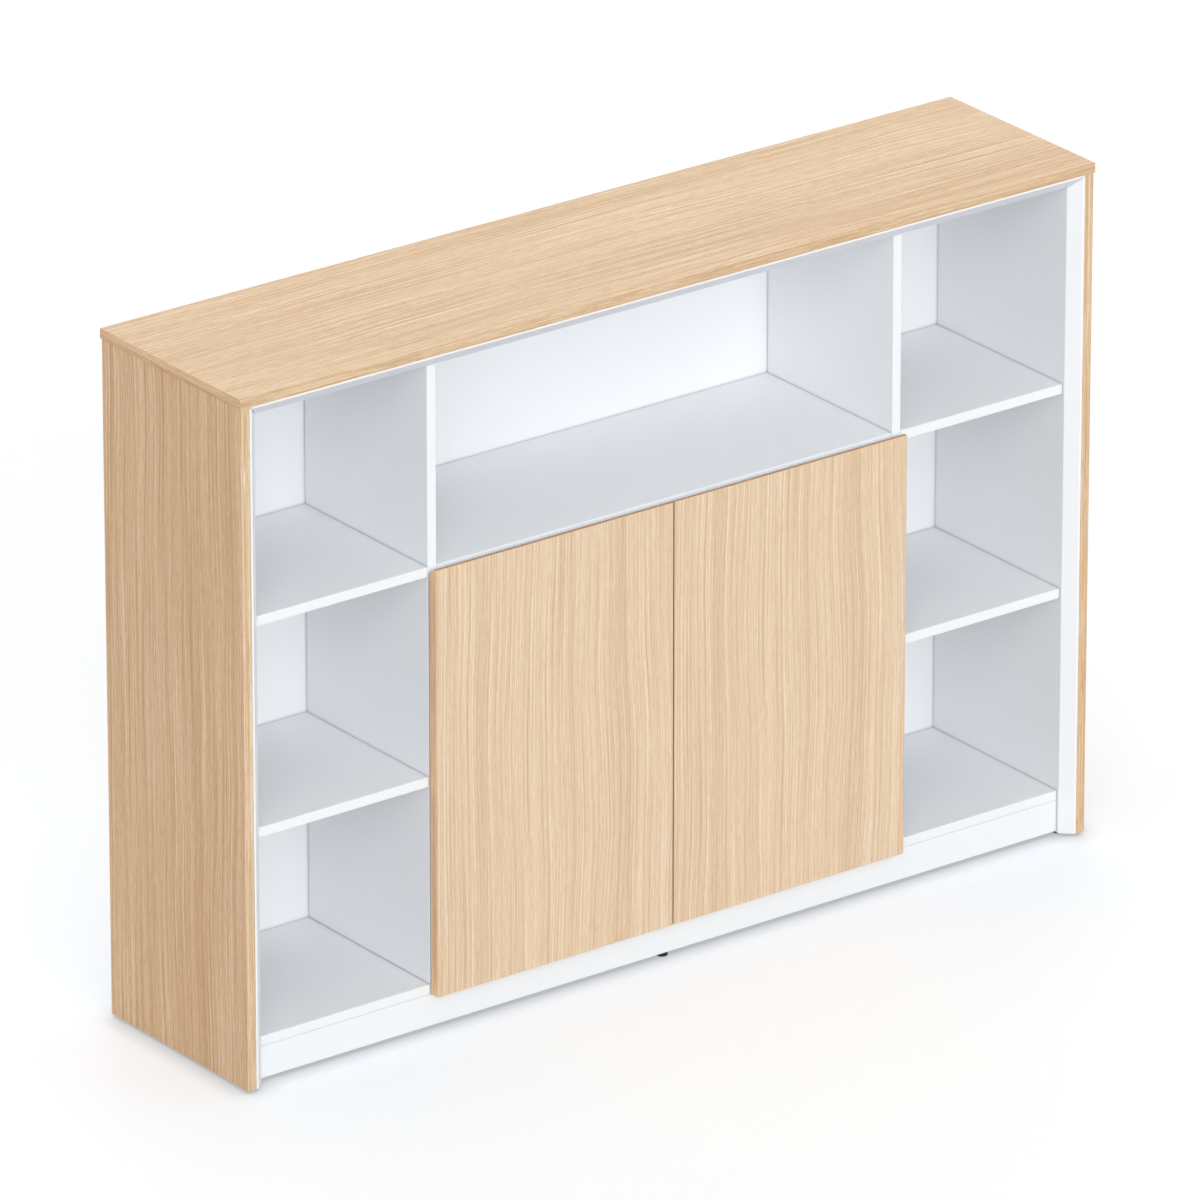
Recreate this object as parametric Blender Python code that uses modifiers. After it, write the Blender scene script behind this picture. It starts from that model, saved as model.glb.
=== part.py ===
"""Office shelving unit with three columns of open bays and a two-door cupboard.

The carcass is oak-faced outside and white inside.  X runs along the width, the
front faces -Y and Z is up.  The origin is on the floor below the middle.
"""
import math

import bmesh
import bpy
from mathutils import Matrix, Vector

# Overall size, over the top panel
UNIT_WIDTH = 1.800
UNIT_DEPTH = 0.400
UNIT_HEIGHT = 1.255
TOP_OVERHANG = 0.002

# Board thicknesses
TOP_THICKNESS = 0.018
SIDE_THICKNESS = 0.018
LINER_THICKNESS = 0.024
SHELF_THICKNESS = 0.018
DIVIDER_THICKNESS = 0.018
PLINTH_THICKNESS = 0.018
DOOR_THICKNESS = 0.018
BACK_THICKNESS = 0.008

# Places of the boards
LINER_EDGE = 0.004
FRONT_RECESS = 0.025
SIDE_CLEARANCE_BELOW = 0.005
PLINTH_CLEARANCE_BELOW = 0.008
BOTTOM_BOARD_TOP = 0.085
COLUMN_WIDTH = 0.355
BACK_INSET = 0.014
BACK_GROOVE_DEPTH = 0.006
INNER_SHELF_SETBACK = 0.020
INNER_SHELF_PLAY = 0.001

# Clearances and small radii
JOINT_GAP = 0.0003
BOARD_EDGE = 0.0005
CUT_OVERRUN = 0.005

# Doors
DOOR_GAP_BEHIND = 0.0025
DOOR_GAP_BETWEEN = 0.0025
DOOR_SIDE_STEP = 0.001
DOOR_TOP_STEP = 0.001
DOOR_PULL_BEVEL = 0.011
BUMPER_RADIUS = 0.0025
BUMPER_FROM_EDGE = 0.020

# Concealed hinges
HINGE_FROM_DOOR_END = 0.100
CUP_RADIUS = 0.0172
CUP_DEPTH = 0.0113
CUP_WALL = 0.0016
CUP_FLOOR = 0.0012
CUP_EDGE_DISTANCE = 0.005
FLANGE_LENGTH = 0.052
FLANGE_WIDTH = 0.020
FLANGE_THICKNESS = 0.0012
PLATE_THICKNESS = 0.003
PLATE_HEIGHT = 0.048
PLATE_WIDTH = 0.030
SYSTEM_LINE = 0.037
ARM_WIDTH = 0.013
ARM_RISE = 0.0095
ARM_TAIL = 0.055
ARM_SHOULDER = 0.012
ARM_NOSE_REACH = 0.008
ARM_NOSE_BASE = 0.003
ARM_NOSE_THICKNESS = 0.005

# Shelf pins and their rows of holes
PIN_RADIUS = 0.0025
PIN_HEAD_RADIUS = 0.0035
PIN_HEAD_LENGTH = 0.009
PIN_STEM_LENGTH = 0.008
PIN_HOLE_SPARE = 0.001
PIN_HOLE_PITCH = 0.032
PIN_HOLES_EACH_WAY = 2

# Levelling feet and the threaded inserts that hold them
FOOT_RADIUS = 0.010
FOOT_HEIGHT = 0.0047
FOOT_EDGE = 0.0008
FOOT_INSET = 0.036
STEM_RADIUS = 0.003
STEM_LENGTH = 0.016
INSERT_WALL = 0.0014
INSERT_LENGTH = 0.012
FOOT_BORE_SPARE = 0.002

# Facets of the round pieces
ROUND_STEPS = 24
CUP_STEPS = 32
HOLE_STEPS = 12

# Levels, from the floor up
side_bottom = SIDE_CLEARANCE_BELOW
side_top = UNIT_HEIGHT - TOP_THICKNESS - JOINT_GAP
ceiling = UNIT_HEIGHT - TOP_THICKNESS - LINER_THICKNESS
row_clear = (ceiling - BOTTOM_BOARD_TOP - 2 * SHELF_THICKNESS) / 3
lower_shelf_top = BOTTOM_BOARD_TOP + row_clear + SHELF_THICKNESS
upper_shelf_top = lower_shelf_top + row_clear + SHELF_THICKNESS
bottom_board_under = BOTTOM_BOARD_TOP - SHELF_THICKNESS
door_bottom = bottom_board_under
door_top = upper_shelf_top - DOOR_TOP_STEP

# Distances from the middle plane
body_half = UNIT_WIDTH / 2 - TOP_OVERHANG
liner_outer = body_half - SIDE_THICKNESS - JOINT_GAP
clear_half = body_half - SIDE_THICKNESS - LINER_THICKNESS
divider_outer = clear_half - COLUMN_WIDTH
divider_inner = divider_outer - DIVIDER_THICKNESS
door_outer = divider_outer - DOOR_SIDE_STEP
door_width = door_outer - DOOR_GAP_BETWEEN / 2

# Planes from the front to the rear
body_front = TOP_OVERHANG - UNIT_DEPTH / 2
body_rear = -body_front
board_front = body_front + FRONT_RECESS
back_rear = body_rear - BACK_INSET
back_front = back_rear - BACK_THICKNESS
board_rear = back_front - JOINT_GAP
door_rear = board_front - DOOR_GAP_BEHIND
door_front = door_rear - DOOR_THICKNESS

# Hinges and bumpers
cup_centre = door_outer - CUP_EDGE_DISTANCE - CUP_RADIUS - JOINT_GAP
cup_bore_depth = CUP_DEPTH + JOINT_GAP
hinge_levels = (("upper", door_top - HINGE_FROM_DOOR_END), ("lower", door_bottom + HINGE_FROM_DOOR_END))
bumper_thickness = DOOR_GAP_BEHIND - 2 * JOINT_GAP
bumper_levels = (
    ("upper", (upper_shelf_top - SHELF_THICKNESS + door_top - DOOR_PULL_BEVEL) / 2),
    ("lower", BOTTOM_BOARD_TOP - SHELF_THICKNESS / 2),
)

# The inner shelf and its pins
inner_shelf_under = lower_shelf_top - SHELF_THICKNESS
pin_level = inner_shelf_under - JOINT_GAP - PIN_HEAD_RADIUS
pin_rows = {"front": board_front + SYSTEM_LINE, "rear": board_rear - SYSTEM_LINE}

# Feet, in two rows, with the end ones in the middle of the side liners
foot_row = body_rear - FOOT_INSET
liner_middle = (liner_outer + clear_half) / 2
insert_radius = STEM_RADIUS + JOINT_GAP + INSERT_WALL
foot_bore_top = FOOT_HEIGHT + STEM_LENGTH + FOOT_BORE_SPARE

SIDES = (("left", -1), ("right", 1))
ENDS = (("front", -1), ("rear", 1))


def clear_scene():
    for thing in list(bpy.data.objects):
        bpy.data.objects.remove(thing, do_unlink=True)


def new_collection(name):
    group = bpy.data.collections.new(name)
    bpy.context.scene.collection.children.link(group)
    return group


def new_material(name, colour, roughness, metallic=0.0):
    material = bpy.data.materials.new(name)
    material.use_nodes = True
    shader = material.node_tree.nodes["Principled BSDF"]
    shader.inputs["Base Color"].default_value = (*colour, 1.0)
    shader.inputs["Roughness"].default_value = roughness
    shader.inputs["Metallic"].default_value = metallic
    material.diffuse_color = (*colour, 1.0)
    return material


clear_scene()
PARTS = new_collection("shelving_unit")
CUTTERS = new_collection("cutters")
OAK = new_material("oak", (0.79, 0.61, 0.41), 0.45)
WHITE = new_material("white_board", (0.90, 0.91, 0.93), 0.40)
STEEL = new_material("hinge_steel", (0.60, 0.60, 0.61), 0.30, 1.0)
BRASS = new_material("insert_brass", (0.62, 0.46, 0.20), 0.35, 1.0)
BLACK = new_material("foot_plastic", (0.025, 0.025, 0.027), 0.50)
RUBBER = new_material("bumper_rubber", (0.70, 0.70, 0.68), 0.60)


def new_empty(name, place):
    empty = bpy.data.objects.new(name, None)
    empty.location = place
    PARTS.objects.link(empty)
    return empty


def add_piece(name, data, material, place, parent, turn=(0.0, 0.0, 0.0)):
    """Make a named piece at a world place below a parent that isn't turned."""
    piece = bpy.data.objects.new(name, data)
    if not data.materials:
        data.materials.append(material)
    piece.parent = parent
    piece.location = Vector(place) - parent.location
    piece.rotation_euler = turn
    PARTS.objects.link(piece)
    return piece


def box_mesh(name, low, high):
    """A box between two corners, in the coordinates of its own object."""
    size = Vector(high) - Vector(low)
    middle = (Vector(high) + Vector(low)) / 2
    shape = bmesh.new()
    bmesh.ops.create_cube(shape, size=1.0, matrix=Matrix.Translation(middle) @ Matrix.Diagonal((*size, 1.0)))
    mesh = bpy.data.meshes.new(name)
    shape.to_mesh(mesh)
    shape.free()
    return mesh


def cylinder_mesh(name, radius, low, high, steps):
    """A cylinder about the object's Z axis, from low to high."""
    shape = bmesh.new()
    bmesh.ops.create_cone(
        shape,
        cap_ends=True,
        segments=steps,
        radius1=radius,
        radius2=radius,
        depth=high - low,
        matrix=Matrix.Translation((0.0, 0.0, (low + high) / 2)),
    )
    mesh = bpy.data.meshes.new(name)
    shape.to_mesh(mesh)
    shape.free()
    return mesh


def slice_off(mesh, point, outward):
    """Cut away what lies beyond a plane and close the cut."""
    shape = bmesh.new()
    shape.from_mesh(mesh)
    everything = shape.verts[:] + shape.edges[:] + shape.faces[:]
    cut = bmesh.ops.bisect_plane(shape, geom=everything, plane_co=point, plane_no=outward, clear_outer=True)
    rim = [item for item in cut["geom_cut"] if isinstance(item, bmesh.types.BMEdge)]
    bmesh.ops.edgeloop_fill(shape, edges=rim)
    bmesh.ops.recalc_face_normals(shape, faces=shape.faces[:])
    shape.to_mesh(mesh)
    shape.free()


def soften_edges(piece, width=BOARD_EDGE):
    bevel = piece.modifiers.new("edge", "BEVEL")
    bevel.width = width
    bevel.segments = 1
    bevel.limit_method = "ANGLE"


def add_cutter(name, mesh, place, turn=(0.0, 0.0, 0.0)):
    cutter = bpy.data.objects.new(name, mesh)
    cutter.location = place
    cutter.rotation_euler = turn
    cutter.hide_render = True
    cutter.display_type = "WIRE"
    CUTTERS.objects.link(cutter)
    return cutter


def apply_boolean(piece, tool, operation="DIFFERENCE"):
    boolean = piece.modifiers.new(tool.name, "BOOLEAN")
    boolean.object = tool
    boolean.operation = operation
    boolean.solver = "EXACT"


def add_board(name, low, high, material, parent, soft=True):
    """A rectangular board between two world corners, with its origin in its middle."""
    middle = (Vector(low) + Vector(high)) / 2
    mesh = box_mesh(name, Vector(low) - middle, Vector(high) - middle)
    board = add_piece(name, mesh, material, middle, parent)
    if soft:
        soften_edges(board)
    return board


def turned_mesh(name, profile, steps):
    """A solid turned about Z from (radius, height) points that run top to bottom."""
    mesh = bpy.data.meshes.new(name)
    points = [(radius, 0.0, height) for radius, height in profile]
    edges = [(index, index + 1) for index in range(len(points) - 1)]
    mesh.from_pydata(points, edges, [])
    blank = bpy.data.objects.new(name, mesh)
    CUTTERS.objects.link(blank)
    screw = blank.modifiers.new("turn", "SCREW")
    screw.steps = steps
    screw.render_steps = steps
    screw.use_merge_vertices = True
    screw.merge_threshold = 0.00001
    turned = baked_mesh(blank, name)
    turned.shade_smooth()
    turned.set_sharp_from_angle(angle=math.radians(30.0))
    return turned


def baked_mesh(blank, name):
    """The evaluated mesh of a helper object, which is then removed."""
    bpy.context.view_layer.update()
    evaluated = blank.evaluated_get(bpy.context.evaluated_depsgraph_get())
    mesh = bpy.data.meshes.new_from_object(evaluated)
    mesh.name = name
    bpy.data.objects.remove(blank, do_unlink=True)
    return mesh


def outline_curve(name, points, thickness):
    """A flat outline in the object's XY plane, thickened evenly about it."""
    curve = bpy.data.curves.new(name, "CURVE")
    curve.dimensions = "2D"
    curve.fill_mode = "BOTH"
    curve.extrude = thickness / 2
    spline = curve.splines.new("POLY")
    spline.points.add(len(points) - 1)
    for point, (x, y) in zip(spline.points, points):
        point.co = (x, y, 0.0, 1.0)
    spline.use_cyclic_u = True
    return curve


def build_outer_panels(carcass):
    add_board(
        "top_panel",
        (-UNIT_WIDTH / 2, -UNIT_DEPTH / 2, UNIT_HEIGHT - TOP_THICKNESS),
        (UNIT_WIDTH / 2, UNIT_DEPTH / 2, UNIT_HEIGHT),
        OAK,
        carcass,
    )
    for side, sign in SIDES:
        edges = sorted((sign * body_half, sign * (body_half - SIDE_THICKNESS)))
        add_board(
            side + "_side_panel",
            (edges[0], body_front, side_bottom),
            (edges[1], body_rear, side_top),
            OAK,
            carcass,
        )


def back_groove_cutter(name, low, high):
    """A cutter for the groove that holds an edge of the back panel."""
    front = back_front - JOINT_GAP
    rear = back_rear + JOINT_GAP
    return add_cutter(name, box_mesh(name, (low[0], front, low[1]), (high[0], rear, high[1])), (0.0, 0.0, 0.0))


def build_liners(carcass):
    """White boards inside the oak, mitred at the top and chamfered along the front."""
    chamfer = LINER_THICKNESS - LINER_EDGE
    for side, sign in SIDES:
        edges = sorted((sign * liner_outer, sign * clear_half))
        low = Vector((edges[0], body_front, side_bottom))
        high = Vector((edges[1], body_rear, side_top))
        liner = add_board(side + "_liner", low, high, WHITE, carcass)
        middle = (low + high) / 2
        inner_edge = Vector((sign * clear_half, body_front + chamfer, 0.0)) - middle
        slice_off(liner.data, inner_edge, Vector((-sign, -1.0, 0.0)))
        corner = Vector((sign * (clear_half + JOINT_GAP / 2), 0.0, ceiling - JOINT_GAP / 2)) - middle
        slice_off(liner.data, corner, Vector((-sign, 0.0, 1.0)))
        groove = sorted((sign * (clear_half - CUT_OVERRUN), sign * (clear_half + BACK_GROOVE_DEPTH)))
        cutter = back_groove_cutter(
            side + "_back_groove",
            (groove[0], side_bottom - CUT_OVERRUN),
            (groove[1], side_top + CUT_OVERRUN),
        )
        apply_boolean(liner, cutter)
        for end, way in ENDS:
            cut_foot_bore(liner, side + "_" + end, sign * liner_middle, way * foot_row)
    low = Vector((-liner_outer, body_front, ceiling))
    high = Vector((liner_outer, body_rear, side_top))
    liner = add_board("top_liner", low, high, WHITE, carcass)
    middle = (low + high) / 2
    inner_edge = Vector((0.0, body_front + chamfer, ceiling)) - middle
    slice_off(liner.data, inner_edge, Vector((0.0, -1.0, -1.0)))
    for side, sign in SIDES:
        corner = Vector((sign * (clear_half - JOINT_GAP / 2), 0.0, ceiling + JOINT_GAP / 2)) - middle
        slice_off(liner.data, corner, Vector((sign, 0.0, -1.0)))
    cutter = back_groove_cutter(
        "top_back_groove",
        (-liner_outer - CUT_OVERRUN, ceiling - CUT_OVERRUN),
        (liner_outer + CUT_OVERRUN, ceiling + BACK_GROOVE_DEPTH),
    )
    apply_boolean(liner, cutter)


def build_fixed_boards(carcass):
    seat = clear_half - JOINT_GAP
    bottom = add_board(
        "bottom_board",
        (-seat, board_front, bottom_board_under),
        (seat, body_rear, BOTTOM_BOARD_TOP),
        WHITE,
        carcass,
    )
    cutter = back_groove_cutter(
        "bottom_back_groove",
        (-clear_half - CUT_OVERRUN, BOTTOM_BOARD_TOP - BACK_GROOVE_DEPTH),
        (clear_half + CUT_OVERRUN, BOTTOM_BOARD_TOP + CUT_OVERRUN),
    )
    apply_boolean(bottom, cutter)
    for end, way in ENDS:
        faces = sorted((way * -board_front, way * (-board_front - PLINTH_THICKNESS)))
        plinth = add_board(
            end + "_plinth",
            (-seat, faces[0], PLINTH_CLEARANCE_BELOW),
            (seat, faces[1], bottom_board_under - JOINT_GAP),
            WHITE,
            carcass,
        )
        cut_foot_bore(plinth, "centre_" + end, 0.0, way * foot_row)
    reach = BACK_GROOVE_DEPTH - JOINT_GAP
    add_board(
        "back_panel",
        (-clear_half - reach, back_front, BOTTOM_BOARD_TOP - reach),
        (clear_half + reach, back_rear, ceiling + reach),
        WHITE,
        carcass,
        soft=False,
    )


def pin_hole_mesh(name):
    """Two upright rows of holes, drilled along the object's -Z from the board's face."""
    depth = PIN_STEM_LENGTH + PIN_HOLE_SPARE
    shape = bmesh.new()
    for row in pin_rows.values():
        for step in range(-PIN_HOLES_EACH_WAY, PIN_HOLES_EACH_WAY + 1):
            bmesh.ops.create_cone(
                shape,
                cap_ends=True,
                segments=HOLE_STEPS,
                radius1=PIN_RADIUS + JOINT_GAP,
                radius2=PIN_RADIUS + JOINT_GAP,
                depth=depth + CUT_OVERRUN,
                matrix=Matrix.Translation((step * PIN_HOLE_PITCH, row, (CUT_OVERRUN - depth) / 2)),
            )
    mesh = bpy.data.meshes.new(name)
    shape.to_mesh(mesh)
    shape.free()
    return mesh


def build_dividers(carcass):
    """Upright boards, with rows of pin holes on the cupboard's side."""
    pin_holes = pin_hole_mesh("pin_holes")
    for side, sign in SIDES:
        edges = sorted((sign * divider_outer, sign * divider_inner))
        divider = add_board(
            side + "_divider",
            (edges[0], board_front, BOTTOM_BOARD_TOP + JOINT_GAP),
            (edges[1], board_rear, ceiling - JOINT_GAP),
            WHITE,
            carcass,
        )
        place = (sign * divider_inner, 0.0, pin_level)
        apply_boolean(divider, add_cutter(side + "_pin_holes", pin_holes, place, (0.0, -sign * math.pi / 2, 0.0)))


def build_shelves(carcass):
    levels = (("upper", upper_shelf_top), ("lower", lower_shelf_top))
    for side, sign in SIDES:
        edges = sorted((sign * (clear_half - JOINT_GAP), sign * (divider_outer + JOINT_GAP)))
        for level, top in levels:
            add_board(
                "_".join((side, level, "shelf")),
                (edges[0], board_front, top - SHELF_THICKNESS),
                (edges[1], board_rear, top),
                WHITE,
                carcass,
            )
    add_board(
        "centre_shelf",
        (-divider_inner + JOINT_GAP, board_front, upper_shelf_top - SHELF_THICKNESS),
        (divider_inner - JOINT_GAP, board_rear, upper_shelf_top),
        WHITE,
        carcass,
    )
    half = divider_inner - INNER_SHELF_PLAY
    add_board(
        "inner_shelf",
        (-half, board_front + INNER_SHELF_SETBACK, inner_shelf_under),
        (half, board_rear - INNER_SHELF_PLAY, lower_shelf_top),
        WHITE,
        carcass,
    )


def build_shelf_pins(carcass):
    """Stepped pins: the thin stem sits in a hole and the head carries the shelf."""
    profile = (
        (0.0, PIN_HEAD_LENGTH),
        (PIN_HEAD_RADIUS, PIN_HEAD_LENGTH),
        (PIN_HEAD_RADIUS, JOINT_GAP),
        (PIN_RADIUS, JOINT_GAP),
        (PIN_RADIUS, -PIN_STEM_LENGTH),
        (0.0, -PIN_STEM_LENGTH),
    )
    mesh = turned_mesh("shelf_pin", profile, HOLE_STEPS)
    for side, sign in SIDES:
        for end, way in ENDS:
            place = (sign * divider_inner, pin_rows[end], pin_level)
            name = "_".join(("shelf_pin", side, end))
            add_piece(name, mesh, STEEL, place, carcass, (0.0, -sign * math.pi / 2, 0.0))


def build_doors():
    """Each door hangs on an upright axis at its outer front edge."""
    axes = {}
    for side, sign in SIDES:
        axis = new_empty(side + "_door_axis", (sign * door_outer, door_front, door_bottom))
        axes[side] = axis
        edges = sorted((0.0, -sign * door_width))
        height = door_top - door_bottom
        mesh = box_mesh(side + "_door", (edges[0], 0.0, 0.0), (edges[1], DOOR_THICKNESS, height))
        slice_off(mesh, Vector((0.0, DOOR_THICKNESS, height - DOOR_PULL_BEVEL)), Vector((0.0, 1.0, 1.0)))
        door = add_piece(side + "_door", mesh, OAK, axis.location, axis)
        soften_edges(door)
        bore = cylinder_mesh("cup_bore", CUP_RADIUS + JOINT_GAP, -cup_bore_depth, CUT_OVERRUN, CUP_STEPS)
        for level, z in hinge_levels:
            place = (sign * cup_centre, door_rear, z)
            cutter = add_cutter("_".join((side, level, "cup_bore")), bore, place, (-math.pi / 2, 0.0, 0.0))
            apply_boolean(door, cutter)
    return axes


def cup_mesh():
    """A round pot with a flat wing above and below, open towards +Z."""
    half_length = FLANGE_LENGTH / 2
    half_width = FLANGE_WIDTH / 2
    wings = box_mesh("cup_wings", (-half_width, -half_length, 0.0), (half_width, half_length, FLANGE_THICKNESS))
    blank = bpy.data.objects.new("cup_blank", wings)
    CUTTERS.objects.link(blank)
    pot = cylinder_mesh("cup_pot", CUP_RADIUS, -CUP_DEPTH, FLANGE_THICKNESS / 2, CUP_STEPS)
    apply_boolean(blank, add_cutter("cup_pot", pot, (0.0, 0.0, 0.0)), "UNION")
    room = cylinder_mesh("cup_room", CUP_RADIUS - CUP_WALL, CUP_FLOOR - CUP_DEPTH, CUT_OVERRUN, CUP_STEPS)
    apply_boolean(blank, add_cutter("cup_room", room, (0.0, 0.0, 0.0)))
    mesh = baked_mesh(blank, "hinge_cup")
    mesh.shade_smooth()
    mesh.set_sharp_from_angle(angle=math.radians(30.0))
    return mesh


def arm_outline(sign):
    """The arm seen from above: a long body over the plate and a nose that enters the cup."""
    base = PLATE_THICKNESS + 2 * JOINT_GAP
    crest = base + ARM_RISE
    nose_base = base + ARM_NOSE_BASE
    nose_crest = nose_base + ARM_NOSE_THICKNESS
    nose_end = door_rear - ARM_NOSE_REACH - board_front
    points = (
        (base, ARM_TAIL),
        (base, ARM_SHOULDER),
        (nose_base, 0.0),
        (nose_base, nose_end),
        (nose_crest, nose_end),
        (nose_crest, 0.0),
        (crest, ARM_SHOULDER),
        (crest, ARM_TAIL),
    )
    return [(-sign * across, along) for across, along in points]


def build_hinges(carcass, axes):
    cup = cup_mesh()
    for side, sign in SIDES:
        arm = outline_curve(side + "_hinge_arm", arm_outline(sign), ARM_WIDTH)
        inner = sign * divider_inner
        for level, z in hinge_levels:
            ending = "_".join((side, level))
            add_piece(
                "hinge_cup_" + ending,
                cup,
                STEEL,
                (sign * cup_centre, door_rear + JOINT_GAP, z),
                axes[side],
                (-math.pi / 2, 0.0, 0.0),
            )
            add_piece("hinge_arm_" + ending, arm, STEEL, (inner, board_front, z), carcass)
            faces = sorted((inner - sign * JOINT_GAP, inner - sign * (JOINT_GAP + PLATE_THICKNESS)))
            line = board_front + SYSTEM_LINE
            add_board(
                "hinge_plate_" + ending,
                (faces[0], line - PLATE_WIDTH / 2, z - PLATE_HEIGHT / 2),
                (faces[1], line + PLATE_WIDTH / 2, z + PLATE_HEIGHT / 2),
                STEEL,
                carcass,
            )


def build_bumpers(axes):
    """Soft buttons on the doors that meet the front edges of the boards behind."""
    mesh = cylinder_mesh("door_bumper", BUMPER_RADIUS, 0.0, bumper_thickness, HOLE_STEPS)
    for side, sign in SIDES:
        across = sign * (DOOR_GAP_BETWEEN / 2 + BUMPER_FROM_EDGE)
        for level, z in bumper_levels:
            place = (across, door_rear + JOINT_GAP, z)
            name = "_".join(("door_bumper", side, level))
            add_piece(name, mesh, RUBBER, place, axes[side], (-math.pi / 2, 0.0, 0.0))


def cut_foot_bore(board, name, x, y):
    """A blind hole in a board's lower edge for a threaded insert."""
    bore = cylinder_mesh("foot_bore", insert_radius + JOINT_GAP, -CUT_OVERRUN, foot_bore_top, ROUND_STEPS)
    apply_boolean(board, add_cutter(name + "_foot_bore", bore, (x, y, 0.0)))


def build_feet(carcass):
    """Round feet on threaded stems, each screwed into an insert in the board above."""
    profile = (
        (0.0, FOOT_HEIGHT + STEM_LENGTH),
        (STEM_RADIUS, FOOT_HEIGHT + STEM_LENGTH),
        (STEM_RADIUS, FOOT_HEIGHT),
        (FOOT_RADIUS - FOOT_EDGE, FOOT_HEIGHT),
        (FOOT_RADIUS, FOOT_HEIGHT - FOOT_EDGE),
        (FOOT_RADIUS, FOOT_EDGE),
        (FOOT_RADIUS - FOOT_EDGE, 0.0),
        (0.0, 0.0),
    )
    foot = turned_mesh("levelling_foot", profile, ROUND_STEPS)
    hole = STEM_RADIUS + JOINT_GAP
    ring = (
        (insert_radius, INSERT_LENGTH),
        (insert_radius, 0.0),
        (hole, 0.0),
        (hole, INSERT_LENGTH),
        (insert_radius, INSERT_LENGTH),
    )
    insert = turned_mesh("foot_insert", ring, ROUND_STEPS)
    columns = (
        ("left", -liner_middle, side_bottom),
        ("centre", 0.0, PLINTH_CLEARANCE_BELOW),
        ("right", liner_middle, side_bottom),
    )
    for end, way in ENDS:
        for column, x, board_bottom in columns:
            ending = "_".join((column, end))
            add_piece("levelling_foot_" + ending, foot, BLACK, (x, way * foot_row, 0.0), carcass)
            add_piece("foot_insert_" + ending, insert, BRASS, (x, way * foot_row, board_bottom), carcass)


carcass_root = new_empty("carcass", (0.0, 0.0, 0.0))
build_outer_panels(carcass_root)
build_liners(carcass_root)
build_fixed_boards(carcass_root)
build_dividers(carcass_root)
build_shelves(carcass_root)
build_shelf_pins(carcass_root)
door_axes = build_doors()
build_hinges(carcass_root, door_axes)
build_bumpers(door_axes)
build_feet(carcass_root)
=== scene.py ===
"""Looks of the shelving unit: oak and white boards, hinge and foot hardware, floor, light and camera."""
import math

import bmesh
import bpy
from mathutils import Matrix, Vector


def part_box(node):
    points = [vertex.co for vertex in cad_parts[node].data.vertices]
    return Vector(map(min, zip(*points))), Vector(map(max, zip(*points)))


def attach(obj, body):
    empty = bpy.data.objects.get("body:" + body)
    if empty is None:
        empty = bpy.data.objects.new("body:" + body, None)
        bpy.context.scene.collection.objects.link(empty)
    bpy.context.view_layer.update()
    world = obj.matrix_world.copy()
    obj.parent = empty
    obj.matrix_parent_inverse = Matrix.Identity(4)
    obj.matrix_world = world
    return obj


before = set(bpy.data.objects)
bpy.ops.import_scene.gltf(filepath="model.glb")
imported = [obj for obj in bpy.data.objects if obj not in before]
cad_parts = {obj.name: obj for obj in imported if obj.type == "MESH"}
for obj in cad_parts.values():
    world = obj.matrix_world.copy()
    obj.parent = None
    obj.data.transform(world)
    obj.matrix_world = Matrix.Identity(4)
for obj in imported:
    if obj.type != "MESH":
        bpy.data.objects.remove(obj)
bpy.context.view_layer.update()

# Camera, from the photograph: an ordinary long lens that looks down at the unit from its front left
CAMERA_AZIMUTH = -37.0
CAMERA_ELEVATION = 22.87
CAMERA_DISTANCE = 23.64
CAMERA_LENS = 416.4
CAMERA_SENSOR = 36.0
CAMERA_AIM = (-0.0105, 0.0003, 0.6067)
CAMERA_CLIP = (1.0, 200.0)

# Light: an even white world, and soft lamps given by azimuth, elevation, strength and spread in degrees
WORLD_COLOUR = (1.0, 1.0, 1.0, 1.0)
WORLD_LEVEL = 0.50
BACKDROP_LEVEL = 1.0
LAMPS = {
    "front": (-5.0, 12.0, 0.82, 30.0),
    "left": (-37.0, 25.0, 0.95, 40.0),
    "above": (0.0, 88.0, 0.38, 60.0),
    "behind": (155.0, 30.0, 0.45, 50.0),
}

# Floor: what it gives back to the light, and what shows of it, with painted shadows within so many metres
# of what stands on it
FLOOR_SIZE = 60.0
FLOOR_COLOUR = (0.55, 0.55, 0.55, 1.0)
FLOOR_PATCH = (0.57, 0.57, 0.57, 1.0)
FLOOR_PATCHES = (3.0, 3.0)
FLOOR_SEEN_COLOUR = (0.966, 0.979, 0.990, 1.0)
FLOOR_PAINTED_SHADOWS = (
    (0.70, (0.715, 0.810, 0.935, 1.0)),
    (0.045, (0.050, 0.050, 0.050, 1.0)),
)
FLOOR_GLOW_SHARE = 0.30
FLOOR_GLOW = 1.42
FLOOR_ROUGHNESS = 0.6
FLOOR_SPECULAR = 0.2

# Oak colours, linear, and how far each tone of the figure is drawn: noise from and to, share from and to
OAK_PALE = (0.965, 0.805, 0.625, 1.0)
OAK_LIGHT = (0.874, 0.686, 0.485, 1.0)
OAK_MIDDLE = (0.786, 0.580, 0.380, 1.0)
OAK_DARK = (0.631, 0.422, 0.240, 1.0)
OAK_ROSE = (0.827, 0.593, 0.419, 1.0)
OAK_PORE = (0.468, 0.280, 0.140, 1.0)
OAK_MEAN = (0.789, 0.601, 0.412, 1.0)
ROSE_SHARE = (0.42, 0.66, 0.0, 0.38)
DARK_LINE_SHARE = (0.50, 0.70, 0.0, 0.78)
PALE_LINE_SHARE = (0.47, 0.30, 0.0, 0.95)
DARK_FIBRE_SHARE = (0.42, 0.68, 0.0, 0.40)
PALE_FIBRE_SHARE = (0.44, 0.26, 0.0, 0.46)
PORE_SHARE = (0.58, 0.76, 0.0, 0.30)
OAK_ROUGHNESS = (0.25, 0.75, 0.44, 0.58)
OAK_SPECULAR = 0.25
OAK_RELIEF = (0.25, 0.00012)
FIBRE_RELIEF = 0.5

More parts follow.
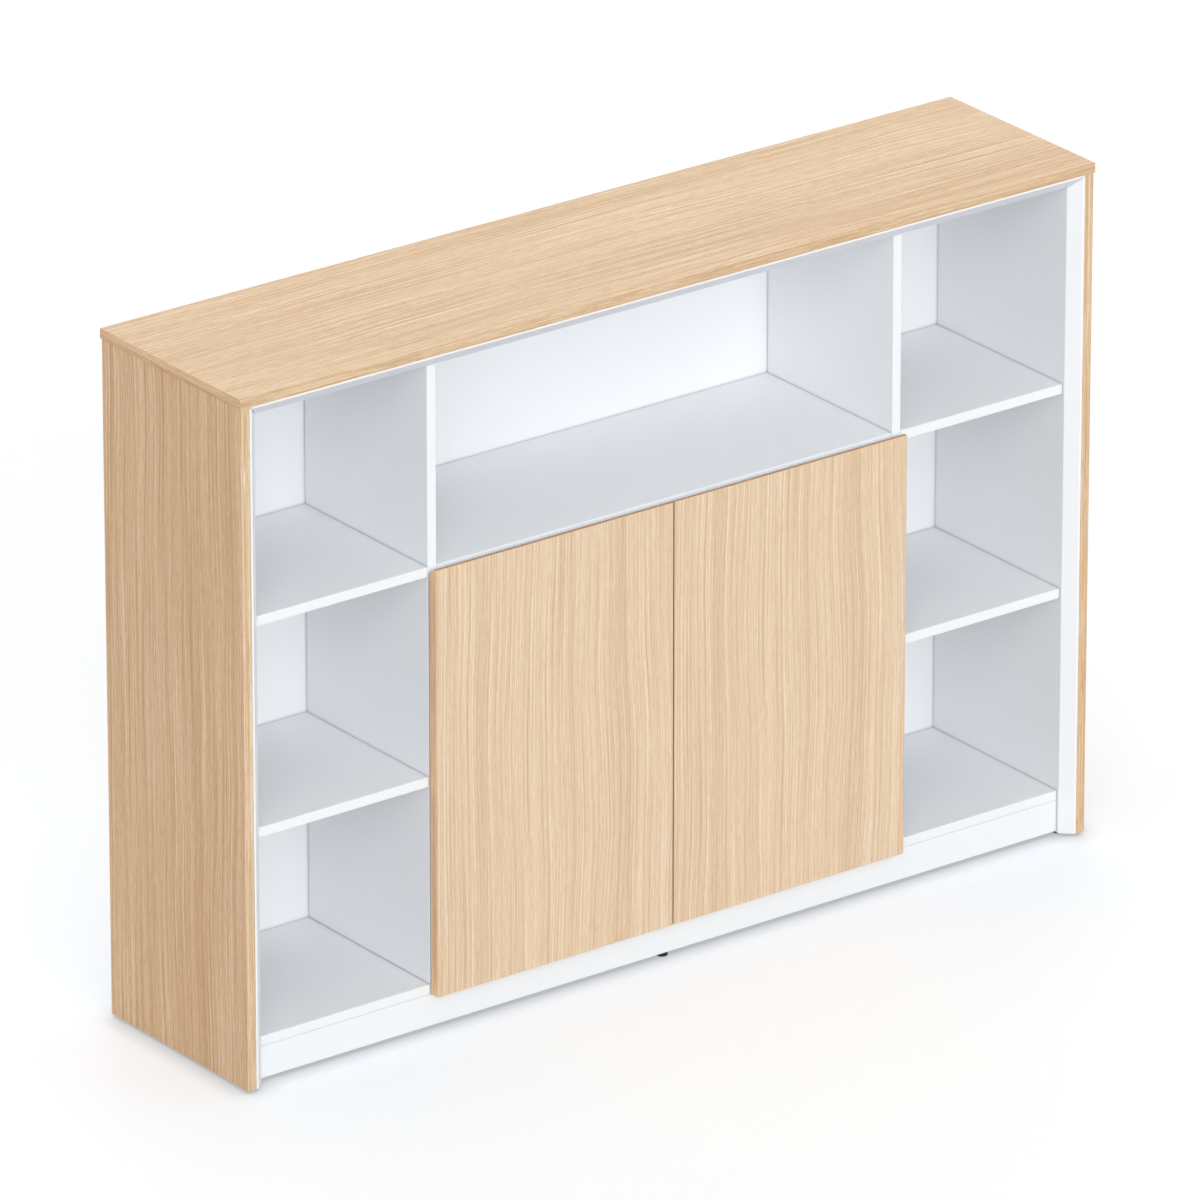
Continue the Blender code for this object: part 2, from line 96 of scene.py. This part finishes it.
# Oak figure: lumps a metre along, across and through the grain, then the noise's octaves and their roughness
SWAY_NOISE = ((1.9, 4.5, 4.5), 1.0, 0.5)
TREMBLE_NOISE = ((4.5, 30.0, 30.0), 1.0, 0.5)
STRIPE_NOISE = ((0.5, 19.0, 19.0), 1.0, 0.5)
BAND_NOISE = ((0.8, 52.0, 52.0), 1.0, 0.5)
RING_NOISE = ((1.1, 170.0, 170.0), 2.0, 0.6)
ROSE_NOISE = ((0.8, 27.0, 27.0), 2.0, 0.5)
LINE_NOISE = ((1.8, 400.0, 400.0), 2.0, 0.6)
FIBRE_NOISE = ((42.0, 900.0, 900.0), 3.0, 0.6)
PORE_NOISE = ((120.0, 1100.0, 1100.0), 2.0, 0.55)

# How far the grain sways and trembles across its run, in metres, about the noise's middle
SWAYS = ((SWAY_NOISE, 0.042), (TREMBLE_NOISE, 0.0048))
NOISE_MIDDLE = 0.5

# Shares of stripes, bands and rings in the figure's tone, and how far off its middle it is all pale or dark
TONE_SHARES = ((STRIPE_NOISE, 0.55), (BAND_NOISE, 0.24), (RING_NOISE, 0.31))
TONE_REACH = 0.125

# Each oak board: axes along, across and through its grain, the point its sheet was cut from,
# how coarse and how strong its figure is, and the tones of its faces, its edges and its ends: painted light
# on the top, painted shade on the sides, and a darker edging with painted warm shade on edges and ends
DOOR_TONE = (0.987, 0.996, 1.010, 1.0)
TOP_PAINTED_LIGHT = (1.038, 0.996, 0.934, 1.0)
TOP_EDGING_AND_SHADE = (0.884, 0.837, 0.775, 1.0)
TOP_END_EDGING_AND_SHADE = (0.974, 0.846, 0.706, 1.0)
SIDE_PAINTED_SHADE = (0.990, 0.892, 0.800, 1.0)
LEFT_EDGING_AND_SHADE = (0.935, 0.925, 0.880, 1.0)
RIGHT_EDGING_AND_SHADE = (0.910, 0.850, 0.775, 1.0)
DOOR_EDGING_AND_SHADE = (1.070, 0.910, 0.800, 1.0)
OAK_BOARDS = {
    "top_panel": ("XYZ", (0.35, 0.03, 1.17), 1.5, 1.20, TOP_PAINTED_LIGHT, TOP_EDGING_AND_SHADE, TOP_END_EDGING_AND_SHADE),
    "left_side_panel": ("ZYX", (3.10, 0.07, -0.99), 1.5, 1.18, SIDE_PAINTED_SHADE, LEFT_EDGING_AND_SHADE, LEFT_EDGING_AND_SHADE),
    "right_side_panel": ("ZYX", (5.90, -0.06, 0.99), 1.5, 1.18, SIDE_PAINTED_SHADE, RIGHT_EDGING_AND_SHADE, RIGHT_EDGING_AND_SHADE),
    "left_door": ("ZXY", (8.30, -0.27, -0.105), 1.0, 0.92, DOOR_TONE, DOOR_EDGING_AND_SHADE, DOOR_EDGING_AND_SHADE),
    "right_door": ("ZXY", (8.42, 0.23, -0.105), 1.0, 0.92, DOOR_TONE, DOOR_EDGING_AND_SHADE, DOOR_EDGING_AND_SHADE),
}

# Painted shade on a door's flat top edge, and which way a face looks that is a board's edge, that top or the
# bevel behind it
DOOR_TOP_PAINTED_SHADE = (0.620, 0.560, 0.560, 1.0)
EDGE_FLATNESS = 0.6
TOP_FLATNESS = 0.9
BEVEL_SLANT = 0.4

# White boards: colours and tones, with painted shade on the chamfer, painted light on the fronts and a
# painted highlight on the lip, then lumps a metre and octaves of each noise, a range from noise to
# roughness, and the strength and height of the relief
WHITE_BOARD = (0.911, 0.929, 0.952, 1.0)
WHITE_BOARD_SHADE = (0.900, 0.918, 0.942, 1.0)
WHITE_LIP_HIGHLIGHT = (0.985, 0.988, 0.992, 1.0)
CHAMFER_PAINTED_SHADE = (0.898, 0.897, 0.939, 1.0)
FRONT_EDGING_AND_LIGHT = (1.012, 1.030, 1.034, 1.0)
WHITE_CLOUDS = (5.0, 3.0)
WHITE_PEARL = (900.0, 2.0)
WHITE_ROUGHNESS = (0.3, 0.7, 0.38, 0.50)
WHITE_SPECULAR = 0.35
WHITE_RELIEF = (0.18, 0.00008)

# Which way the chamfer under the top, painted in shade, and the front edges look, and in front of which
# depth, in metres, a white board's front edge is a whiter edging painted lighter and a liner's front edge is
# its lip, with a painted highlight
CHAMFER_SLANT = -0.5
FRONT_FLATNESS = -0.9
FRONT_DEPTH = -0.16
LIP_DEPTH = -0.19

# Painted shade within a few millimetres of a joint, where shade gathers: how open the air is where it starts
# and is full
PAINTED_JOINT_SHADE = (0.640, 0.655, 0.672, 1.0)
PAINTED_DOOR_JOINT_SHADE = (0.500, 0.335, 0.200, 1.0)
JOINT_REACH = 0.005
JOINT_RANGE = (0.96, 0.50, 0.0, 1.0)
JOINT_SAMPLES = 4

# Metals: name, colour, colour of the stains and roughness, by material slot. A polish is noise from and to,
# and the share of the roughness from and to
METALS = {
    "hinge_steel": ("nickel_plated_steel", (0.66, 0.65, 0.63, 1.0), (0.56, 0.55, 0.53, 1.0), 0.30),
    "insert_brass": ("yellow_brass", (0.70, 0.53, 0.27, 1.0), (0.58, 0.42, 0.20, 1.0), 0.34),
}
SCREW_METAL = ("zinc_plated_screw", (0.58, 0.58, 0.57, 1.0), (0.47, 0.47, 0.46, 1.0), 0.34)
METAL_LINES = (2400.0, 3.0, 0.65)
METAL_STAINS = (160.0, 3.0)
STAIN_SHARE = (0.4, 0.7, 0.0, 0.6)
METAL_POLISH = (0.3, 0.7, 0.8, 1.25)
METAL_RELIEF = (0.12, 0.00004)

# Mouldings: name, colour, colour of the scuffs, roughness and grains a metre, by material slot
MOULDINGS = {
    "foot_plastic": ("black_nylon", (0.006, 0.006, 0.0065, 1.0), (0.014, 0.014, 0.015, 1.0), 0.55, 1800.0),
    "bumper_rubber": ("clear_grey_rubber", (0.62, 0.62, 0.60, 1.0), (0.56, 0.56, 0.54, 1.0), 0.40, 2600.0),
}
SKIN_OCTAVES = (2.0, 0.6)
MOULDING_SCUFFS = (140.0, 4.0, 0.65)
SCUFF_SHARE = (0.55, 0.8, 0.0, 0.7)
MOULDING_POLISH = (0.3, 0.75, 0.85, 1.2)
MOULDING_RELIEF = (0.25, 0.00008)

# Pan-headed screws with a cross recess: profile and recess in head radii, sizes in metres
SCREW_STEPS = 24
SCREW_PROFILE = ((1.0, -0.08), (1.0, 0.12), (0.90, 0.30), (0.66, 0.42))
SCREW_CROSS = ((0.46, 0.11), (0.11, 0.11), (0.11, 0.46))
SCREW_RECESS = 0.28
CUP_SCREW = 0.0036
PLATE_SCREW = 0.0036
ARM_SCREW = 0.0027
CUP_SCREW_INSET = 0.0062
PLATE_SCREW_SPACING = 0.032
ARM_SCREW_INSETS = (0.009, 0.034)
DOOR_REAR = (0.0, 1.0, 0.0)


def new_material(name):
    """A node material, its tree and its principled shader."""
    material = bpy.data.materials.new(name)
    material.use_nodes = True
    return material, material.node_tree, material.node_tree.nodes["Principled BSDF"]


def connect(tree, source, socket):
    """Feeds a socket from another node's output, or sets its own value."""
    if isinstance(source, bpy.types.NodeSocket):
        tree.links.new(source, socket)
    else:
        socket.default_value = source


def maths(tree, operation, first, second=0.0):
    """One sum on two numbers."""
    node = tree.nodes.new("ShaderNodeMath")
    node.operation = operation
    connect(tree, first, node.inputs[0])
    connect(tree, second, node.inputs[1])
    return node.outputs["Value"]


def remap(tree, value, low, high, new_low, new_high):
    """A smooth step of a number from one range to another."""
    node = tree.nodes.new("ShaderNodeMapRange")
    node.interpolation_type = "SMOOTHSTEP"
    connect(tree, value, node.inputs["Value"])
    node.inputs["From Min"].default_value = low
    node.inputs["From Max"].default_value = high
    node.inputs["To Min"].default_value = new_low
    node.inputs["To Max"].default_value = new_high
    return node.outputs["Result"]


def polished(tree, value, low, high, least, most, roughness):
    """A roughness that runs between two shares of its mean."""
    return remap(tree, value, low, high, roughness * least, roughness * most)


def blend(tree, share, first, second, mode="MIX"):
    """A mix of two colours."""
    node = tree.nodes.new("ShaderNodeMix")
    node.data_type = "RGBA"
    node.blend_type = mode
    connect(tree, share, node.inputs[0])
    connect(tree, first, node.inputs[6])
    connect(tree, second, node.inputs[7])
    return node.outputs[2]


def noise(tree, vector, scale, octaves=2.0, roughness=0.5):
    """Cloud noise at so many lumps a metre."""
    node = tree.nodes.new("ShaderNodeTexNoise")
    connect(tree, vector, node.inputs["Vector"])
    node.inputs["Scale"].default_value = scale
    node.inputs["Detail"].default_value = octaves
    node.inputs["Roughness"].default_value = roughness
    return node.outputs["Fac"]


def grain_noise(tree, parts, scales, octaves, roughness):
    """Cloud noise with its own lumps a metre along, across and through the grain."""
    node = tree.nodes.new("ShaderNodeCombineXYZ")
    for part, scale, socket in zip(parts, scales, node.inputs):
        connect(tree, maths(tree, "MULTIPLY", part, scale), socket)
    return noise(tree, node.outputs["Vector"], 1.0, octaves, roughness)


def add_relief(tree, shader, height, strength, distance):
    """Relief of a shader's surface from a height."""
    node = tree.nodes.new("ShaderNodeBump")
    node.inputs["Strength"].default_value = strength
    node.inputs["Distance"].default_value = distance
    connect(tree, height, node.inputs["Height"])
    connect(tree, node.outputs["Normal"], shader.inputs["Normal"])


def object_point(tree):
    """The point on the surface, in metres in the object's own frame."""
    return tree.nodes.new("ShaderNodeTexCoord").outputs["Object"]


def split(tree, vector):
    """The three numbers of a vector, by axis."""
    node = tree.nodes.new("ShaderNodeSeparateXYZ")
    connect(tree, vector, node.inputs["Vector"])
    return node.outputs


def facing(tree):
    """Which way the surface looks, by axis of the object's own frame."""
    return split(tree, tree.nodes.new("ShaderNodeTexCoord").outputs["Normal"])


def grain_parts(tree, axes, origin, ends):
    """Distances along, across and through a board's grain, which runs along the edging of its ends."""
    point = split(tree, object_point(tree))
    parts = [maths(tree, "SUBTRACT", point[axis], start) for axis, start in zip(axes, origin)]
    gap = maths(tree, "MULTIPLY", ends, maths(tree, "SUBTRACT", parts[1], parts[0]))
    return [maths(tree, "ADD", parts[0], gap), maths(tree, "SUBTRACT", parts[1], gap), parts[2]]


def swayed(tree, parts, coarseness):
    """The same distances with the grain swaying slowly and trembling finely along its run."""
    across = parts[1]
    for kind, reach in SWAYS:
        lump = maths(tree, "SUBTRACT", grain_noise(tree, parts, *kind), NOISE_MIDDLE)
        across = maths(tree, "ADD", across, maths(tree, "MULTIPLY", lump, reach))
    return [parts[0], maths(tree, "DIVIDE", across, coarseness), parts[2]]


def oak_tone(tree, parts):
    """How dark the figure is, from broad stripes down to growth lines."""
    tone = 0.0
    for kind, share in TONE_SHARES:
        tone = maths(tree, "ADD", tone, maths(tree, "MULTIPLY", grain_noise(tree, parts, *kind), share))
    middle = NOISE_MIDDLE * sum(share for kind, share in TONE_SHARES)
    return remap(tree, tone, middle - TONE_REACH, middle + TONE_REACH, 0.0, 1.0)


def oak_colour(tree, parts, fibres, pores):
    """Broad rosy and yellow bands, growth lines and fibres, with dark pores over them."""
    rose = grain_noise(tree, parts, *ROSE_NOISE)
    lines = grain_noise(tree, parts, *LINE_NOISE)
    colour = blend(tree, oak_tone(tree, parts), OAK_LIGHT, OAK_MIDDLE)
    for kind, span, tint in (
        (rose, ROSE_SHARE, OAK_ROSE),
        (lines, DARK_LINE_SHARE, OAK_DARK),
        (lines, PALE_LINE_SHARE, OAK_PALE),
        (fibres, DARK_FIBRE_SHARE, OAK_DARK),
        (fibres, PALE_FIBRE_SHARE, OAK_PALE),
    ):
        colour = blend(tree, remap(tree, kind, *span), colour, tint)
    return blend(tree, pores, colour, OAK_PORE)


def stressed(tree, colour, strength):
    """The figure drawn more strongly about the oak's mean colour."""
    drawn = blend(tree, strength, OAK_MEAN, colour)
    drawn.node.clamp_factor = False
    return drawn


def edge_share(tree, through):
    """One on a board's banded edges and zero on its two faces."""
    flatness = maths(tree, "ABSOLUTE", facing(tree)[through])
    return maths(tree, "LESS_THAN", flatness, EDGE_FLATNESS)


def end_share(tree, along):
    """One on the edges that cut across a board's grain."""
    flatness = maths(tree, "ABSOLUTE", facing(tree)[along])
    return maths(tree, "GREATER_THAN", flatness, EDGE_FLATNESS)


def shaded_top_white_bevel(tree, colour):
    """A door's colour with painted shade on its flat top edge, and white on the bevel that faces up and
    back.
    """
    looks = facing(tree)
    # Painted shade: the flat top edge is darkened like the shaded groove behind it
    painted_top_shade = blend(tree, 1.0, colour, DOOR_TOP_PAINTED_SHADE, "MULTIPLY")
    colour = blend(tree, maths(tree, "GREATER_THAN", looks["Z"], TOP_FLATNESS), colour, painted_top_shade)
    slant = maths(tree, "MINIMUM", looks["Y"], looks["Z"])
    return blend(tree, maths(tree, "GREATER_THAN", slant, BEVEL_SLANT), colour, WHITE_BOARD)


def painted_joint_shade_share(tree):
    """Share of painted shade: up to one in the corner of a joint, and zero a few millimetres off."""
    open_air = tree.nodes.new("ShaderNodeAmbientOcclusion")
    open_air.samples = JOINT_SAMPLES
    open_air.inputs["Distance"].default_value = JOINT_REACH
    return remap(tree, open_air.outputs["AO"], *JOINT_RANGE)


def make_oak(name, axes, origin, coarseness, strength, face_light_and_shade, edging_and_shade, end_edging_and_shade):
    """Printed oak laminate with its own cut of the figure on each board."""
    material, tree, shader = new_material("oak_" + name)
    ends = end_share(tree, axes[0])
    parts = swayed(tree, grain_parts(tree, axes, origin, ends), coarseness)
    fibres = grain_noise(tree, parts, *FIBRE_NOISE)
    pores = remap(tree, grain_noise(tree, parts, *PORE_NOISE), *PORE_SHARE)
    # Painted light and shade: the top lighter, the sides in warm shade, edges and ends a darker edging with
    # painted shade
    tone = blend(tree, edge_share(tree, axes[2]), face_light_and_shade, edging_and_shade)
    tone = blend(tree, ends, tone, end_edging_and_shade)
    figure = stressed(tree, oak_colour(tree, parts, fibres, pores), strength)
    colour = blend(tree, 1.0, figure, tone, "MULTIPLY")
    if name.endswith("door"):
        # Painted shade in the gaps and joints round each door
        colour = blend(tree, painted_joint_shade_share(tree), shaded_top_white_bevel(tree, colour), PAINTED_DOOR_JOINT_SHADE)
    connect(tree, colour, shader.inputs["Base Color"])
    connect(tree, remap(tree, fibres, *OAK_ROUGHNESS), shader.inputs["Roughness"])
    height = maths(tree, "SUBTRACT", maths(tree, "MULTIPLY", fibres, FIBRE_RELIEF), pores)
    add_relief(tree, shader, height, *OAK_RELIEF)
    shader.inputs["Specular IOR Level"].default_value = OAK_SPECULAR
    return material


def make_white_board():
    """White melamine board with the fine pearl of the pressed sheet, painted shade on the chamfer, a front
    that is a whiter edging and painted lighter, painted shade in its joints and a painted highlight on the
    lip.
    """
    material, tree, shader = new_material("white_board_finish")
    point = object_point(tree)
    looks = facing(tree)
    pearl = noise(tree, point, *WHITE_PEARL)
    board = blend(tree, noise(tree, point, *WHITE_CLOUDS), WHITE_BOARD, WHITE_BOARD_SHADE)
    # Painted shade: the chamfer that faces down and forward is darkened
    shaded_chamfer = blend(tree, 1.0, board, CHAMFER_PAINTED_SHADE, "MULTIPLY")
    slant = maths(tree, "MAXIMUM", looks["Y"], looks["Z"])
    board = blend(tree, maths(tree, "LESS_THAN", slant, CHAMFER_SLANT), board, shaded_chamfer)
    # Front faces painted lighter and bluer against the shade under the doors, partly a whiter edging
    flat = maths(tree, "LESS_THAN", looks["Y"], FRONT_FLATNESS)
    depth = split(tree, point)["Y"]
    front = maths(tree, "MULTIPLY", flat, maths(tree, "LESS_THAN", depth, FRONT_DEPTH))
    board = blend(tree, front, board, blend(tree, 1.0, board, FRONT_EDGING_AND_LIGHT, "MULTIPLY"))
    # Painted shade in the joints, darkest in their corners
    board = blend(tree, painted_joint_shade_share(tree), board, PAINTED_JOINT_SHADE)
    # Painted highlight on the liners' lip, partly a whiter lip edging
    lip_highlight = maths(tree, "MULTIPLY", flat, maths(tree, "LESS_THAN", depth, LIP_DEPTH))
    connect(tree, blend(tree, lip_highlight, board, WHITE_LIP_HIGHLIGHT), shader.inputs["Base Color"])
    connect(tree, remap(tree, pearl, *WHITE_ROUGHNESS), shader.inputs["Roughness"])
    add_relief(tree, shader, pearl, *WHITE_RELIEF)
    shader.inputs["Specular IOR Level"].default_value = WHITE_SPECULAR
    return material


def make_metal(name, colour, stain, roughness):
    """Plated metal with faint drawing lines and stains."""
    material, tree, shader = new_material(name)
    point = object_point(tree)
    lines = noise(tree, point, *METAL_LINES)
    stained = remap(tree, noise(tree, point, *METAL_STAINS), *STAIN_SHARE)
    connect(tree, blend(tree, stained, colour, stain), shader.inputs["Base Color"])
    connect(tree, polished(tree, lines, *METAL_POLISH, roughness), shader.inputs["Roughness"])
    add_relief(tree, shader, lines, *METAL_RELIEF)
    shader.inputs["Metallic"].default_value = 1.0
    return material


def make_moulded(name, colour, worn, roughness, grain):
    """Moulded plastic or rubber with an even spark-eroded grain."""
    material, tree, shader = new_material(name)
    point = object_point(tree)
    skin = noise(tree, point, grain, *SKIN_OCTAVES)
    scuffs = noise(tree, point, *MOULDING_SCUFFS)
    scuffed = remap(tree, scuffs, *SCUFF_SHARE)
    connect(tree, blend(tree, scuffed, colour, worn), shader.inputs["Base Color"])
    connect(tree, polished(tree, scuffs, *MOULDING_POLISH, roughness), shader.inputs["Roughness"])
    add_relief(tree, shader, skin, *MOULDING_RELIEF)
    return material


def dress_nodes(nodes):
    """Gives every CAD node its finish."""
    shared = {"white_board": make_white_board()}
    shared.update((slot, make_metal(*facts)) for slot, facts in METALS.items())
    shared.update((slot, make_moulded(*facts)) for slot, facts in MOULDINGS.items())
    for name, node in nodes.items():
        if name in OAK_BOARDS:
            finish = make_oak(name, *OAK_BOARDS[name])
        else:
            finish = shared[node.material_slots[0].material.name.split(".")[0]]
        for slot in node.material_slots:
            slot.material = finish


def add_ring(mesh, place, points):
    """Vertices at points of the screw's own frame, as a closed loop of edges."""
    corners = [mesh.verts.new(place @ Vector(point)) for point in points]
    edges = [mesh.edges.new(pair) for pair in zip(corners, corners[1:] + corners[:1])]
    return corners, edges


def cross_points(level):
    """The outline of a cross recess at a level, going round its four arms."""
    points = []
    for quarter in range(4):
        turn = Matrix.Rotation(quarter * math.pi / 2, 3, "Z")
        points += [turn @ Vector((x, y, level)) for x, y in SCREW_CROSS]
    return points


def add_screw(mesh, seat, outward, radius):
    """Adds a pan head that stands on its seat and faces outward."""
    turn = Vector(outward).to_track_quat("Z", "Y").to_matrix().to_4x4()
    place = Matrix.Translation(seat) @ turn @ Matrix.Scale(radius, 4)
    angles = [2 * math.pi * step / SCREW_STEPS for step in range(SCREW_STEPS)]
    loops = []
    for reach, level in SCREW_PROFILE:
        points = [(reach * math.cos(angle), reach * math.sin(angle), level) for angle in angles]
        loops.append(add_ring(mesh, place, points))
    crest = SCREW_PROFILE[-1][1]
    for level in (crest, crest - SCREW_RECESS):
        loops.append(add_ring(mesh, place, cross_points(level)))
    for lower, upper in zip(loops, loops[1:]):
        bmesh.ops.bridge_loops(mesh, edges=lower[1] + upper[1])
    mesh.faces.new(loops[0][0])
    mesh.faces.new(loops[-1][0])


def add_screws(name, body, seats, outward, radius, finish):
    """One piece that holds the screws of one fitting and rides on its body."""
    mesh = bmesh.new()
    for seat in seats:
        add_screw(mesh, seat, outward, radius)
    bmesh.ops.recalc_face_normals(mesh, faces=mesh.faces)
    data = bpy.data.meshes.new(name)
    mesh.to_mesh(data)
    mesh.free()
    data.materials.append(finish)
    piece = bpy.data.objects.new(name, data)
    bpy.context.scene.collection.objects.link(piece)
    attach(piece, body)


def hinge_screws(side, inward, level, finish):
    """The screws of one hinge: on the cup's flange, on the mounting plate and on the arm."""
    ending = side + "_" + level
    low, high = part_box("hinge_cup_" + ending)
    across = (low[0] + high[0]) / 2
    seats = [(across, high[1], z) for z in (low[2] + CUP_SCREW_INSET, high[2] - CUP_SCREW_INSET)]
    add_screws("cup_screws_" + ending, side + "_door", seats, DOOR_REAR, CUP_SCREW, finish)

    aside = (inward, 0.0, 0.0)
    near = 1 if inward > 0 else 0
    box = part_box("hinge_plate_" + ending)
    depth, height = ((box[0][axis] + box[1][axis]) / 2 for axis in (1, 2))
    seats = [(box[near][0], depth, height + step * PLATE_SCREW_SPACING / 2) for step in (-1, 1)]
    add_screws("plate_screws_" + ending, "carcass", seats, aside, PLATE_SCREW, finish)

    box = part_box("hinge_arm_" + ending)
    seats = [(box[near][0], box[1][1] - inset, height) for inset in ARM_SCREW_INSETS]
    add_screws("arm_screws_" + ending, "carcass", seats, aside, ARM_SCREW, finish)


def seen_ray(tree):
    """One for rays that show the backdrop itself: from the camera, in a reflection or through glass."""
    path = tree.nodes.new("ShaderNodeLightPath")
    mirrored = maths(tree, "MAXIMUM", path.outputs["Is Camera Ray"], path.outputs["Is Glossy Ray"])
    return maths(tree, "MAXIMUM", mirrored, path.outputs["Is Transmission Ray"])


def shade_by(tree, share, first, second, output):
    """Sends a mix of two shaders to a material's or a world's output."""
    mixed = tree.nodes.new("ShaderNodeMixShader")
    for source, socket in zip((share, first.outputs[0], second.outputs[0]), mixed.inputs):
        connect(tree, source, socket)
    connect(tree, mixed.outputs[0], tree.nodes[output].inputs["Surface"])


def painted_floor_shadows(tree):
    """White, with a painted soft shadow a little greyer round what stands on the floor and a painted dark
    shadow close under it.
    """
    colour = FLOOR_SEEN_COLOUR
    # Each shade is a painted shadow, darkest where the air is least open
    for reach, shadow_colour in FLOOR_PAINTED_SHADOWS:
        open_air = tree.nodes.new("ShaderNodeAmbientOcclusion")
        open_air.inputs["Distance"].default_value = reach
        colour = blend(tree, open_air.outputs["AO"], shadow_colour, colour)
    return colour


def make_floor():
    """A plain floor that shows white round the unit's soft shadow, partly real and partly painted, and
    throws a little light back up.
    """
    material, tree, shader = new_material("studio_floor")
    seen = seen_ray(tree)
    plain = blend(tree, noise(tree, object_point(tree), *FLOOR_PATCHES), FLOOR_COLOUR, FLOOR_PATCH)
    connect(tree, blend(tree, seen, plain, painted_floor_shadows(tree)), shader.inputs["Base Color"])
    shader.inputs["Roughness"].default_value = FLOOR_ROUGHNESS
    shader.inputs["Specular IOR Level"].default_value = FLOOR_SPECULAR
    glow = tree.nodes.new("ShaderNodeEmission")
    glow.inputs["Strength"].default_value = FLOOR_GLOW
    shade_by(tree, maths(tree, "MULTIPLY", seen, FLOOR_GLOW_SHARE), shader, glow, "Material Output")
    mesh = bpy.data.meshes.new("floor")
    half = FLOOR_SIZE / 2
    corners = [(-half, -half, 0.0), (half, -half, 0.0), (half, half, 0.0), (-half, half, 0.0)]
    mesh.from_pydata(corners, [], [(0, 1, 2, 3)])
    mesh.materials.append(material)
    floor = bpy.data.objects.new("floor", mesh)
    bpy.context.scene.collection.objects.link(floor)


def make_world():
    """Even white light all round, with a white backdrop."""
    world = bpy.data.worlds.new("studio")
    world.use_nodes = True
    tree = world.node_tree
    light = tree.nodes["Background"]
    backdrop = tree.nodes.new("ShaderNodeBackground")
    for shader, level in ((light, WORLD_LEVEL), (backdrop, BACKDROP_LEVEL)):
        shader.inputs["Color"].default_value = WORLD_COLOUR
        shader.inputs["Strength"].default_value = level
    shade_by(tree, seen_ray(tree), light, backdrop, "World Output")
    bpy.context.scene.world = world


def from_direction(azimuth, elevation):
    """The unit vector that points towards a place round the object, from angles in degrees."""
    azimuth, elevation = math.radians(azimuth), math.radians(elevation)
    level = math.cos(elevation)
    return Vector((math.sin(azimuth) * level, -math.cos(azimuth) * level, math.sin(elevation)))


def add_facing_back(name, data, back):
    """An object of the scene that looks along its own -Z, away from the direction back."""
    thing = bpy.data.objects.new(name, data)
    thing.rotation_mode = "QUATERNION"
    thing.rotation_quaternion = back.to_track_quat("Z", "Y")
    bpy.context.scene.collection.objects.link(thing)
    return thing


def add_lamp(name, azimuth, elevation, strength, spread):
    """A soft lamp far away in a direction, all angles in degrees."""
    light = bpy.data.lights.new(name, "SUN")
    light.energy = strength
    light.angle = math.radians(spread)
    add_facing_back(name, light, from_direction(azimuth, elevation))


def add_camera():
    """The photograph's view."""
    data = bpy.data.cameras.new("photograph")
    data.sensor_width = CAMERA_SENSOR
    data.lens = CAMERA_LENS
    data.clip_start, data.clip_end = CAMERA_CLIP
    back = from_direction(CAMERA_AZIMUTH, CAMERA_ELEVATION)
    camera = add_facing_back("photograph", data, back)
    camera.location = Vector(CAMERA_AIM) + back * CAMERA_DISTANCE
    bpy.context.scene.camera = camera


add_camera()
dress_nodes(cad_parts)
screw_finish = make_metal(*SCREW_METAL)
for side, inward in (("left", 1.0), ("right", -1.0)):
    for level in ("upper", "lower"):
        hinge_screws(side, inward, level, screw_finish)
make_floor()
make_world()
for lamp_name, lamp_facts in LAMPS.items():
    add_lamp(lamp_name, *lamp_facts)
bpy.context.scene.view_settings.view_transform = "Standard"
